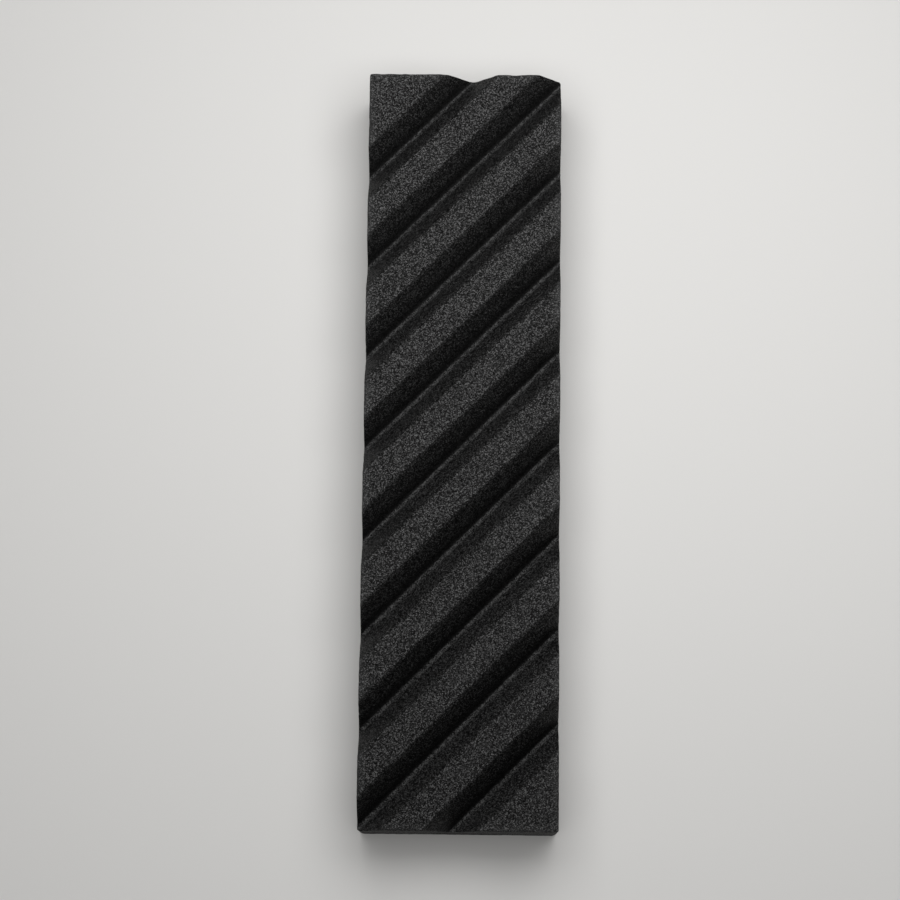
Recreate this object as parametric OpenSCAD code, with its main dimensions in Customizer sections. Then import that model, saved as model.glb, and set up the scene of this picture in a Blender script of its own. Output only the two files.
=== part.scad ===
// Flattening stone: a bench-size block of coarse bonded silicon carbide.
// Diagonal grooves across its working face carry slurry and grit away.
// Millimetres. Origin at the middle of the underside, Y along the block, Z up.

/* [Block] */
// Length along Y, end to end
block_length = 203; // [160:1:250]
// Width along X
block_width = 52; // [40:1:80]
// Thickness along Z, from the underside to the working face
block_thickness = 25; // [16:1:40]
// Bevel rubbed on the long edges and the end edges
edge_bevel = 0.4; // [0.1:0.1:1.5]
// Bevel on the four upright corners
corner_bevel = 0.7; // [0.2:0.1:3]

/* [Grooves] */
// Number of grooves, odd so that one crosses the middle of the block
groove_count = 9; // [1:2:9]
// Distance from groove to groove, measured along the block
groove_pitch = 24.86; // [20:0.01:30]
// Angle between the grooves and the block's width
groove_angle = 45; // [30:1:50]
// Width of a groove at the working face, square to the groove, before its lips are bevelled
groove_width = 9.7; // [7:0.1:10]
// Depth of a groove below the working face
groove_depth = 6.4; // [5:0.1:8]
// Radius of the rounded groove floor
floor_radius = 0.8; // [0.5:0.1:2.5]
// Bevel rubbed on both lips of a groove
lip_bevel = 0.4; // [0.1:0.1:0.6]

/* [Hidden] */

// How far a cutting shape stands out past the block
overshoot = 2;
// Facets of a full circle at the floor radius
floor_fn = 48;
// The walls cut this share of the floor radius past its centre, so they cross the floor's arc
wall_share = 0.98;

// A groove wall runs from the lip down to the floor's arc
half_width = groove_width / 2;
arc_centre_depth = groove_depth - floor_radius;
wall_distance = wall_share * floor_radius;
lip_to_centre = norm([half_width, arc_centre_depth]);
wall_angle = atan2(arc_centre_depth, half_width) + asin(wall_distance / lip_to_centre);
// Foot of the wall, just inside the arc, measured from the groove's centre line
foot_x = wall_distance * sin(wall_angle);
foot_depth = arc_centre_depth + wall_distance * cos(wall_angle);
// Long enough to cross the block from corner to corner at any angle
cutter_length = 2 * norm([block_width, block_length]);

// Rectangle about the origin with its four corners cut off at 45 degrees
module bevelled_rectangle(size_x, size_y, bevel) {
    x = size_x / 2;
    y = size_y / 2;
    polygon([
        [-x, -y + bevel], [-x + bevel, -y],
        [x - bevel, -y], [x, -y + bevel],
        [x, y - bevel], [x - bevel, y],
        [-x + bevel, y], [-x, y - bevel]
    ]);
}

// The block before grooving: what its plan, end view and side view have in common
module blank() {
    intersection() {
        linear_extrude(height = block_thickness)
            bevelled_rectangle(block_width, block_length, corner_bevel);
        translate([0, 0, block_thickness / 2])
            rotate([90, 0, 0])
                linear_extrude(height = block_length + 2 * overshoot, center = true)
                    bevelled_rectangle(block_width, block_thickness, edge_bevel);
        translate([0, 0, block_thickness / 2])
            rotate([90, 0, 90])
                linear_extrude(height = block_width + 2 * overshoot, center = true)
                    bevelled_rectangle(block_length, block_thickness, edge_bevel);
    }
}

// Section of a groove down to the foot of its walls, with the working face at y = 0.
// The 45 degree lips carry on above the face, so that they cut it cleanly.
module groove_section() {
    under_lip_x = half_width - lip_bevel / tan(wall_angle);
    mouth_x = under_lip_x + lip_bevel + overshoot;
    polygon([
        [-mouth_x, overshoot], [-under_lip_x, -lip_bevel],
        [-foot_x, -foot_depth], [foot_x, -foot_depth],
        [under_lip_x, -lip_bevel], [mouth_x, overshoot]
    ]);
}

// One groove as a solid along X, its mouth at the plane z = 0
module groove_cutter() {
    rotate([90, 0, 90]) {
        linear_extrude(height = cutter_length, center = true)
            groove_section();
        translate([0, -arc_centre_depth, 0])
            cylinder(h = cutter_length, r = floor_radius, center = true, $fn = floor_fn);
    }
}

// The block with its row of grooves, spaced evenly from the middle outwards
module stone() {
    outermost = (groove_count - 1) / 2;
    color("dimgray")
        difference() {
            blank();
            for (i = [-outermost : outermost])
                translate([0, i * groove_pitch, block_thickness])
                    rotate([0, 0, groove_angle])
                        groove_cutter();
        }
}

stone();
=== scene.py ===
import math

import bpy
import numpy as np
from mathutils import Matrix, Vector, noise


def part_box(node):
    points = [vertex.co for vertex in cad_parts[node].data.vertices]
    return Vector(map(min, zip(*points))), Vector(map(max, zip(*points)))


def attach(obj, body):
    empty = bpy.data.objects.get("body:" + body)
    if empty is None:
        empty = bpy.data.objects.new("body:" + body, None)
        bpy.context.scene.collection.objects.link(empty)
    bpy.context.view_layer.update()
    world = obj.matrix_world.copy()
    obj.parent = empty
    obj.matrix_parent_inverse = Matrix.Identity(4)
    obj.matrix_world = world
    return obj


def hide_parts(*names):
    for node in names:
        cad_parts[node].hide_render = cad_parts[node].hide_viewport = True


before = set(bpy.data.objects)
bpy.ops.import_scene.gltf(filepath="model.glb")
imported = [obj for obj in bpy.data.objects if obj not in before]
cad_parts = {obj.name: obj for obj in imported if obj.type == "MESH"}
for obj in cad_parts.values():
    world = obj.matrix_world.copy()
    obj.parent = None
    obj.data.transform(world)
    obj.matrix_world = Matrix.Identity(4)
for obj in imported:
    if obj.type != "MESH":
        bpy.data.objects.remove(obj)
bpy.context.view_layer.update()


# ---------------------------------------------------------------------------------------------
# The flattening stone, one block of coarse black silicon carbide grain in a glassy bond. It is
# pressed in a mould whose ribs leave the diagonal grooves, fired, and its top is ground flat.
# ---------------------------------------------------------------------------------------------
MM = 0.001

stone_low, stone_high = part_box("stone")
half_width = (stone_high.x - stone_low.x) / 2 / MM
half_length = (stone_high.y - stone_low.y) / 2 / MM
thickness = (stone_high.z - stone_low.z) / MM

# The grooves in millimetres: nine of them, V-shaped with a narrow rounded floor
outermost_groove = 4
pitch_along_stone = 24.86
groove_pitch = pitch_along_stone / math.sqrt(2)
groove_half_width = 4.85
groove_depth = 6.4
floor_radius = 0.8
floor_centre_depth = groove_depth - floor_radius
wall_angle = math.atan2(floor_centre_depth, groove_half_width) + math.asin(
    floor_radius / math.hypot(groove_half_width, floor_centre_depth)
)

# How far handling and rubbing have rounded each kind of edge, in millimetres
lip_round = 0.2
edge_round = 0.3
corner_round = 0.6


def rounded_overlap(first, second, radius):
    """Signed distance to what two solids share, with their common edge rounded to a radius."""
    past_first = np.maximum(radius + first, 0)
    past_second = np.maximum(radius + second, 0)
    return np.minimum(-radius, np.maximum(first, second)) + np.hypot(past_first, past_second)


def from_groove(points):
    """Signed distance to the nearest groove's walls and floor, and how far off its centre line."""
    across = (points[:, 0] - points[:, 1]) / math.sqrt(2)
    nearest = np.clip(np.round(across / groove_pitch), -outermost_groove, outermost_groove)
    across = across - nearest * groove_pitch
    off_centre = np.abs(across)
    depth = thickness - points[:, 2]
    wall = (off_centre - groove_half_width) * math.sin(wall_angle) + depth * math.cos(wall_angle)
    floor = np.hypot(off_centre, depth - floor_centre_depth) - floor_radius
    over_floor = (depth - floor_centre_depth) * math.sin(wall_angle) > off_centre * math.cos(wall_angle)
    return np.where(over_floor, floor, wall), across


def from_stone(points):
    """Signed distance in millimetres to the block with its rubbed edges, before any chips."""
    x, y, z = points.T
    groove, _ = from_groove(points)
    top = rounded_overlap(z - thickness, -groove, lip_round)
    sides = rounded_overlap(np.abs(x) - half_width, np.abs(y) - half_length, corner_round)
    body = rounded_overlap(sides, top, edge_round)
    return rounded_overlap(body, -z, edge_round)


def outward(points, reach):
    """Unit vector out of the block at each point, felt over a reach in millimetres each way."""
    slopes = [from_stone(points + axis) - from_stone(points - axis) for axis in np.eye(3) * reach]
    slopes = np.stack(slopes, axis=1)
    return slopes / np.linalg.norm(slopes, axis=1, keepdims=True)


# The working face is a grid whose diagonals run along the grooves, a whole number to the pitch
cells_to_pitch = 62
cell = pitch_along_stone / cells_to_pitch
border = 0.2


def grid_lines(half):
    """Grid lines from -half to half: whole cells in the middle and two thin strips at each end."""
    most = math.floor((half - border) / cell)
    even = np.arange(-most, most + 1) * cell
    thin = (half + even[-1]) / 2
    return np.concatenate([[-half, -thin], even, [thin, half]])


across_lines = grid_lines(half_width)
along_lines = grid_lines(half_length)
grid_x, grid_y = np.meshgrid(across_lines, along_lines, indexing="ij")
top = np.stack([grid_x.ravel(), grid_y.ravel(), np.full(grid_x.size, thickness)], axis=1)
off_centre = np.abs(from_groove(top)[1])
wall_depth = (groove_half_width - off_centre) * math.tan(wall_angle)
floor_depth = floor_centre_depth + np.sqrt(np.maximum(floor_radius**2 - off_centre**2, 0))
foot = floor_radius * math.sin(wall_angle)
top[:, 2] -= np.where(off_centre < foot, floor_depth, np.maximum(wall_depth, 0))

blocks = [top]
triangles = []
top_ids = np.arange(len(top)).reshape(grid_x.shape)


def add_points(new):
    """Adds points to the block and returns their numbers."""
    start = sum(len(block) for block in blocks)
    blocks.append(new)
    return np.arange(start, start + len(new))


def add_grid(ids, upward):
    """Adds the triangles of a grid of points, each cell split along the grooves."""
    corners = [ids[:-1, :-1], ids[1:, :-1], ids[1:, 1:], ids[:-1, 1:]]
    for order in ((0, 1, 2), (0, 2, 3)):
        order = order if upward else order[::-1]
        triangles.extend(np.stack([corners[i] for i in order], axis=-1).reshape(-1, 3).tolist())


def rim(ids):
    """The points on a grid's outline, once round from the corner at low x and low y."""
    return np.concatenate([ids[:-1, 0], ids[-1, :-1], ids[:0:-1, -1], ids[0, :0:-1]])


def join_loops(upper, lower):
    """Adds triangles between two closed loops, which may have different numbers of points."""
    i = j = 0
    while i < len(upper) or j < len(lower):
        one, other = upper[i % len(upper)], lower[j % len(lower)]
        if i < len(upper) and (i + 1) * len(lower) <= (j + 1) * len(upper):
            i += 1
            triangles.append((one, other, upper[i % len(upper)]))
        else:
            j += 1
            triangles.append((one, other, lower[j % len(lower)]))


add_grid(top_ids, upward=True)

# The upright faces: loops of points from the notched rim down, half as many once below the edge,
# and close together where the edges turn
rim_points = top[rim(top_ids)]
upper_loop = rim(top_ids)
edge_levels = (0.15, 0.3, 0.6)
middle_levels = np.linspace(1.6, thickness - 1.2, 24)
lower_levels = [thickness - level for level in reversed(edge_levels)]
for level in (*edge_levels, 1.0, *middle_levels, *lower_levels, thickness):
    every = 1 if level <= edge_round else 2
    loop_points = rim_points[::every].copy()
    loop_points[:, 2] *= 1 - level / thickness
    lower_loop = add_points(loop_points)
    join_loops(upper_loop, lower_loop)
    upper_loop = lower_loop

# The underside: two loops just inside its edge, then a grid of wider cells
coarser = 4
for inset in (0.15, 0.35):
    loop_points = rim_points[::2] * [1 - inset / half_width, 1 - inset / half_length, 0]
    lower_loop = add_points(loop_points)
    join_loops(upper_loop, lower_loop)
    upper_loop = lower_loop
under_x, under_y = np.meshgrid(
    across_lines[coarser:-coarser:coarser], along_lines[coarser:-coarser:coarser], indexing="ij"
)
under_ids = add_points(np.stack([under_x.ravel(), under_y.ravel(), np.zeros(under_x.size)], axis=1))
under_ids = under_ids.reshape(under_x.shape)
join_loops(upper_loop, rim(under_ids))
add_grid(under_ids, upward=False)

# Each point settles on the rounded shape in a few short moves
points = np.concatenate(blocks)
settling_moves = 5
fine_reach = 0.01
for _ in range(settling_moves):
    points -= outward(points, fine_reach) * from_stone(points)[:, None]


def unevenness(wavelength, seed):
    """Smooth noise at each point, from about -1 to 1, with a wavelength in millimetres."""
    offset = Vector((seed, 2 * seed, 3 * seed))
    return np.array([noise.noise(Vector(point) / wavelength + offset) for point in points])


def near(distance, reach):
    """1 at no distance, falling away to almost 0 at twice the reach."""
    return np.exp(-((distance / reach) ** 2))


# Wear goes inwards only: how far each point is from the nearest arris says how much it gets
groove_gap, across = from_groove(points)
gaps = np.stack([
    half_width - np.abs(points[:, 0]),
    half_length - np.abs(points[:, 1]),
    thickness - points[:, 2],
    points[:, 2],
    np.abs(groove_gap),
])
from_arris = np.sort(gaps, axis=0)[1]
from_outline = np.minimum(gaps[0], gaps[1])
ground = near(thickness - points[:, 2], 0.05)

# Whole grains that broke away from the arrises
crumble_depth = 0.35
crumble_reach = 0.4
crumble = np.maximum(unevenness(1.1, 10) + 0.1, 0) * crumble_depth * near(from_arris, crumble_reach)

# A few larger chips, only where the noise peaks near the outline
chip_depth = 1.5
chip_reach = 0.7
chipped_border = 1.5
chip_peaks = np.maximum(unevenness(4.5, 20) - 0.42, 0)
chips = chip_peaks * chip_depth * near(from_arris, chip_reach) * near(from_outline, chipped_border)

# The pressed faces show the relief of the grain, and the mould leaves them slightly wavy
relief_depth = 0.06
wave_depth = 0.03
relief = (unevenness(1.3, 30) + 0.6) * relief_depth * (1 - ground)
waves = (unevenness(9, 40) + 0.7) * wave_depth * (1 - ground)

# Wear sinks in along a direction that turns gradually round each arris
wear_reach = 0.8
worn = np.maximum(crumble + chips + relief + waves, 0)
points -= outward(points, wear_reach) * worn[:, None]

# Points that the wear crowded together near an arris are eased apart, so that nothing folds over
easing_moves = 2
corners = np.array(triangles)
links = np.concatenate([corners[:, [0, 1]], corners[:, [1, 2]], corners[:, [2, 0]]])
link_counts = np.bincount(links[:, 0])
crowded = from_arris < crumble_reach
for _ in range(easing_moves):
    sums = [np.bincount(links[:, 0], weights=points[links[:, 1], axis]) for axis in range(3)]
    points[crowded] = (np.stack(sums, axis=1) / link_counts[:, None])[crowded]

mesh = bpy.data.meshes.new("flattening_stone")
mesh.from_pydata((points * MM).tolist(), [], triangles)
mesh.polygons.foreach_set("use_smooth", [True] * len(mesh.polygons))
# For the material: place across the nearest groove, how far from its walls, and from the outline
channel = mesh.attributes.new("channel", "FLOAT_VECTOR", "POINT")
channel.data.foreach_set("vector", np.stack([across, gaps[4], from_outline], axis=1).ravel())
stone = bpy.data.objects.new("flattening_stone", mesh)
bpy.context.scene.collection.objects.link(stone)


def linear(hex_colour):
    """An sRGB hex colour as linear RGBA."""
    channels = [int(hex_colour[i:i + 2], 16) / 255 for i in (1, 3, 5)]
    light = [c / 12.92 if c <= 0.04045 else ((c + 0.055) / 1.055) ** 2.4 for c in channels]
    return (*light, 1)


def add_node(material, kind, settings, inputs):
    """Adds a node, sets its options, and sets its inputs to values or links them to outputs."""
    node = material.node_tree.nodes.new("ShaderNode" + kind)
    for name, value in settings.items():
        setattr(node, name, value)
    for name, value in inputs.items():
        if isinstance(value, bpy.types.NodeSocket):
            material.node_tree.links.new(value, node.inputs[name])
        else:
            node.inputs[name].default_value = value
    return node


# Fired silicon carbide in a glassy bond. Ground flat, its sheared grains give a dense grey
# speckle; as pressed, in the grooves and on the sides, a near-black skin closes it over.
silicon_carbide = bpy.data.materials.new("silicon_carbide_fired_and_ground")
silicon_carbide.use_nodes = True
silicon_carbide.node_tree.nodes.clear()
multiply = {"operation": "MULTIPLY"}
smoothly = {"interpolation_type": "SMOOTHSTEP"}

# Every pattern is laid out in millimetres on the stone
place = add_node(silicon_carbide, "TexCoord", {}, {})
place = add_node(silicon_carbide, "VectorMath", {"operation": "SCALE"},
                 {0: place.outputs["Object"], "Scale": 1 / MM})
place = place.outputs[0]
height = add_node(silicon_carbide, "SeparateXYZ", {}, {0: place}).outputs["Z"]
surface = add_node(silicon_carbide, "NewGeometry", {}, {}).outputs["Normal"]
marks = add_node(silicon_carbide, "Attribute", {"attribute_name": "channel"}, {})
marks = add_node(silicon_carbide, "SeparateXYZ", {}, {0: marks.outputs["Vector"]})
groove_side, groove_distance, outline_distance = marks.outputs[0], marks.outputs[1], marks.outputs[2]

# Grain of about 60 grit: each cell is one grain, with its own grey and its own tilt
grain_size = 0.22
grain = add_node(silicon_carbide, "TexVoronoi", {}, {"Vector": place, "Scale": 1 / grain_size})
grain_pick = add_node(silicon_carbide, "SeparateColor", {}, {0: grain.outputs["Color"]})
ground_grey = add_node(silicon_carbide, "ValToRGB", {}, {0: grain_pick.outputs[0]})
stops = ground_grey.color_ramp.elements
stops[0].color = linear("#000000")
stops[1].color = linear("#747474")
stops.new(0.35).color = linear("#0A0A0A")
stops.new(0.7).color = linear("#363636")
skin_grey = add_node(silicon_carbide, "ValToRGB", {}, {0: grain_pick.outputs[0]})
stops = skin_grey.color_ramp.elements
stops[0].color = linear("#000000")
stops[1].color = linear("#505050")
stops.new(0.6).color = linear("#0A0A0A")

# Grinding took the skin off the very top only. Input 0 of each colour mix is the share of the
# second colour, 6 is the first colour and 7 is the second.
was_ground = add_node(
    silicon_carbide, "MapRange", smoothly,
    {"Value": height, "From Min": thickness - 0.12, "From Max": thickness - 0.03},
).outputs[0]
grey = add_node(silicon_carbide, "Mix", {"data_type": "RGBA"},
                {0: was_ground, 6: skin_grey.outputs[0], 7: ground_grey.outputs[0]}).outputs[2]

# Dust from use: faint clouds outside the grooves, strongest on the sides and near the outline
dust_cloud_size = 8
dust = add_node(silicon_carbide, "TexNoise", {},
                {"Vector": place, "Scale": 1 / dust_cloud_size, "Detail": 4})
cloud = add_node(silicon_carbide, "MapRange", smoothly,
                 {"Value": dust.outputs[0], "From Min": 0.4, "From Max": 0.75, "To Max": 0.12})
by_outline = add_node(
    silicon_carbide, "MapRange", smoothly,
    {"Value": outline_distance, "From Min": 0.5, "From Max": 3.0, "To Min": 1, "To Max": 0.25},
).outputs[0]
outside_groove = add_node(
    silicon_carbide, "MapRange", smoothly,
    {"Value": groove_distance, "From Min": 0.1, "From Max": 0.5},
).outputs[0]
dusty = add_node(silicon_carbide, "Math", multiply,
                 {0: cloud.outputs[0], 1: by_outline})
dusty = add_node(silicon_carbide, "Math", multiply,
                 {0: dusty.outputs[0], 1: outside_groove}).outputs[0]
grey = add_node(silicon_carbide, "Mix", {"data_type": "RGBA"},
                {0: dusty, 6: grey, 7: linear("#5A5A5A")}).outputs[2]

# The outline of the working face is rubbed paler, and light catching its arris is painted on as a
# highlight: paler towards the outline, most of all on the arris
on_top = add_node(
    silicon_carbide, "MapRange", smoothly,
    {"Value": height, "From Min": thickness - 0.7, "From Max": thickness - 0.2},
).outputs[0]
rubbed_and_highlit = add_node(silicon_carbide, "MapRange", {},
                  {"Value": outline_distance, "From Max": 2.5, "To Min": 0.09, "To Max": 0})
rubbed_and_highlit = add_node(silicon_carbide, "Math", multiply,
                  {0: rubbed_and_highlit.outputs[0], 1: on_top}).outputs[0]
grey = add_node(silicon_carbide, "Mix", {"data_type": "RGBA"},
                {0: rubbed_and_highlit, 6: grey, 7: linear("#8A8A8A")}).outputs[2]

# Dried slurry lies along each groove's floor in a thin pale line that wanders; the line is also a
# painted highlight, kept on the part of the floor that faces the lamp
wander_length = 3
wander = add_node(silicon_carbide, "TexNoise", {},
                  {"Vector": place, "Scale": 1 / wander_length, "Detail": 2})
wander = add_node(silicon_carbide, "MapRange", {},
                  {"Value": wander.outputs[0], "To Min": -0.75, "To Max": 0.05}).outputs[0]
off_line = add_node(silicon_carbide, "Math", {"operation": "ADD"}, {0: groove_side, 1: wander})
off_line = add_node(silicon_carbide, "Math", {"operation": "ABSOLUTE"}, {0: off_line.outputs[0]})
on_line = add_node(
    silicon_carbide, "MapRange", smoothly,
    {"Value": off_line.outputs[0], "From Min": 0.25, "From Max": 0.75, "To Min": 1, "To Max": 0},
).outputs[0]
in_groove = add_node(
    silicon_carbide, "MapRange", smoothly,
    {"Value": groove_distance, "From Min": 0.1, "From Max": 0.5, "To Min": 1, "To Max": 0},
).outputs[0]
slurry_and_highlight = add_node(silicon_carbide, "Math", multiply, {0: on_line, 1: in_groove})

# It clots on single grains and breaks off here and there
clots = add_node(
    silicon_carbide, "MapRange", smoothly,
    {"Value": grain_pick.outputs[1], "From Min": 0.35, "From Max": 0.85},
).outputs[0]
slurry_and_highlight = add_node(silicon_carbide, "Math", multiply,
                  {0: slurry_and_highlight.outputs[0], 1: clots}).outputs[0]
break_length = 1.3
breaks = add_node(silicon_carbide, "TexNoise", {},
                  {"Vector": place, "Scale": 1 / break_length, "Detail": 1})
breaks = add_node(silicon_carbide, "MapRange", smoothly,
                  {"Value": breaks.outputs[0], "From Min": 0.35, "From Max": 0.6, "To Min": 0.3})
slurry_and_highlight = add_node(silicon_carbide, "Math", multiply,
                  {0: slurry_and_highlight, 1: breaks.outputs[0]}).outputs[0]
# The pale line goes in here: part slurry, part painted highlight
grey = add_node(silicon_carbide, "Mix", {"data_type": "RGBA"},
                {0: slurry_and_highlight, 6: grey, 7: linear("#5A5A5A")}).outputs[2]

# Painted shade: the crease beside that line, on the side of each groove that faces away from the lamp,
# is darkened to near black
into_crease = add_node(
    silicon_carbide, "MapRange", smoothly,
    {"Value": groove_side, "From Min": -2.8, "From Max": -0.8, "To Min": 0, "To Max": 0.85},
).outputs[0]
before_line = add_node(
    silicon_carbide, "MapRange", smoothly,
    {"Value": groove_side, "From Min": -0.4, "From Max": 0.0, "To Min": 1, "To Max": 0},
).outputs[0]
crease_shade = add_node(silicon_carbide, "Math", multiply, {0: into_crease, 1: before_line})
crease_shade = add_node(silicon_carbide, "Math", multiply,
                 {0: crease_shade.outputs[0], 1: in_groove}).outputs[0]
grey = add_node(silicon_carbide, "Mix", {"data_type": "RGBA"},
                {0: crease_shade, 6: grey, 7: linear("#020202")}).outputs[2]

# Every grain leans its own way, so the surface glitters dimly in place of an even gloss
grain_lean = 0.9
lean = add_node(silicon_carbide, "VectorMath", {"operation": "SUBTRACT"},
                {0: grain.outputs["Color"], 1: (0.5, 0.5, 0.5)})
lean = add_node(silicon_carbide, "VectorMath", {"operation": "SCALE"},
                {0: lean.outputs[0], "Scale": grain_lean})
facet = add_node(silicon_carbide, "VectorMath", {"operation": "ADD"},
                 {0: surface, 1: lean.outputs[0]})
facet = add_node(silicon_carbide, "VectorMath", {"operation": "NORMALIZE"},
                 {0: facet.outputs[0]}).outputs[0]

# The glassy bond has an IOR of about 1.5, and the pores between the grains swallow most gloss
shader = add_node(silicon_carbide, "BsdfPrincipled", {}, {
    "Base Color": grey,
    "Roughness": 0.7,
    "IOR": 1.5,
    "Specular IOR Level": 0.2,
    "Normal": facet,
})
add_node(silicon_carbide, "OutputMaterial", {}, {"Surface": shader.outputs[0]})
mesh.materials.append(silicon_carbide)

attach(stone, "root")
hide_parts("stone")


# ---------------------------------------------------------------------------------------------
# The floor, a seamless sweep of pale matt card that the stone lies on. It is flat under and
# around the stone and curves up all round, so no edge shows behind the stone.
# ---------------------------------------------------------------------------------------------
flat_radius = 0.9
sweep_radius = 0.6
spokes = 96
sweep_rings = 13

rings = [(flat_radius / 3, 0), (flat_radius * 2 / 3, 0)]
for angle in np.linspace(0, math.pi / 2, sweep_rings):
    rings.append((flat_radius + sweep_radius * math.sin(angle), sweep_radius * (1 - math.cos(angle))))
floor_points = [(0, 0, 0)]
for radius, level in rings:
    for spoke in range(spokes):
        turn = 2 * math.pi * spoke / spokes
        floor_points.append((radius * math.cos(turn), radius * math.sin(turn), level))
floor_faces = [(0, 1 + spoke, 1 + (spoke + 1) % spokes) for spoke in range(spokes)]
for ring in range(len(rings) - 1):
    inner, outer = 1 + ring * spokes, 1 + (ring + 1) * spokes
    for spoke in range(spokes):
        after = (spoke + 1) % spokes
        floor_faces.append((inner + spoke, outer + spoke, outer + after, inner + after))
floor_mesh = bpy.data.meshes.new("floor")
floor_mesh.from_pydata(floor_points, [], floor_faces)
floor_mesh.polygons.foreach_set("use_smooth", [True] * len(floor_mesh.polygons))
floor = bpy.data.objects.new("floor", floor_mesh)
bpy.context.scene.collection.objects.link(floor)

# Matt card: pale and even, with no gloss to speak of
card = bpy.data.materials.new("card_matt")
card.use_nodes = True
card.node_tree.nodes.clear()
shader = add_node(card, "BsdfPrincipled", {}, {"Base Color": linear("#D0CFCD"), "Roughness": 0.9})
add_node(card, "OutputMaterial", {}, {"Surface": shader.outputs[0]})
floor_mesh.materials.append(card)


# ---------------------------------------------------------------------------------------------
# The light: a soft box hung close above the far end of the stone, which leaves the groove walls
# that face the near end in shade, and a wide one high up that lights only the card.
# ---------------------------------------------------------------------------------------------
def add_soft_box(name, place, size, power):
    """Adds a square area light that faces straight down."""
    light = bpy.data.lights.new(name, "AREA")
    light.shape = "SQUARE"
    light.size = size
    light.energy = power
    lamp = bpy.data.objects.new(name, light)
    lamp.location = place
    bpy.context.scene.collection.objects.link(lamp)
    return lamp


add_soft_box("near_box", (0.035, 0.105, 0.285), 0.3, 0.8)
floor_box = add_soft_box("floor_box", (0, 0, 2.5), 3, 42)
floor_only = bpy.data.collections.new("floor_only")
floor_only.objects.link(floor)
floor_box.light_linking.receiver_collection = floor_only

# A trace of light from all round, as in any studio
room = bpy.data.worlds.new("room")
room.use_nodes = True
room.node_tree.nodes["Background"].inputs["Color"].default_value = linear("#F4F4F2")
room.node_tree.nodes["Background"].inputs["Strength"].default_value = 0.005
bpy.context.scene.world = room


# ---------------------------------------------------------------------------------------------
# The camera: a long lens almost straight above the stone, a little towards its near end. Its
# place is in metres and its turns are in degrees.
# ---------------------------------------------------------------------------------------------
camera = bpy.data.objects.new("camera", bpy.data.cameras.new("camera"))
camera.data.sensor_width = 36
camera.data.lens = 99.55
camera.location = (0.0055, -0.1248, 0.6679)
camera.rotation_euler = [math.radians(angle) for angle in (10.8, 0.63, 0.68)]
bpy.context.scene.collection.objects.link(camera)
bpy.context.scene.camera = camera
bpy.context.scene.view_settings.view_transform = "Standard"
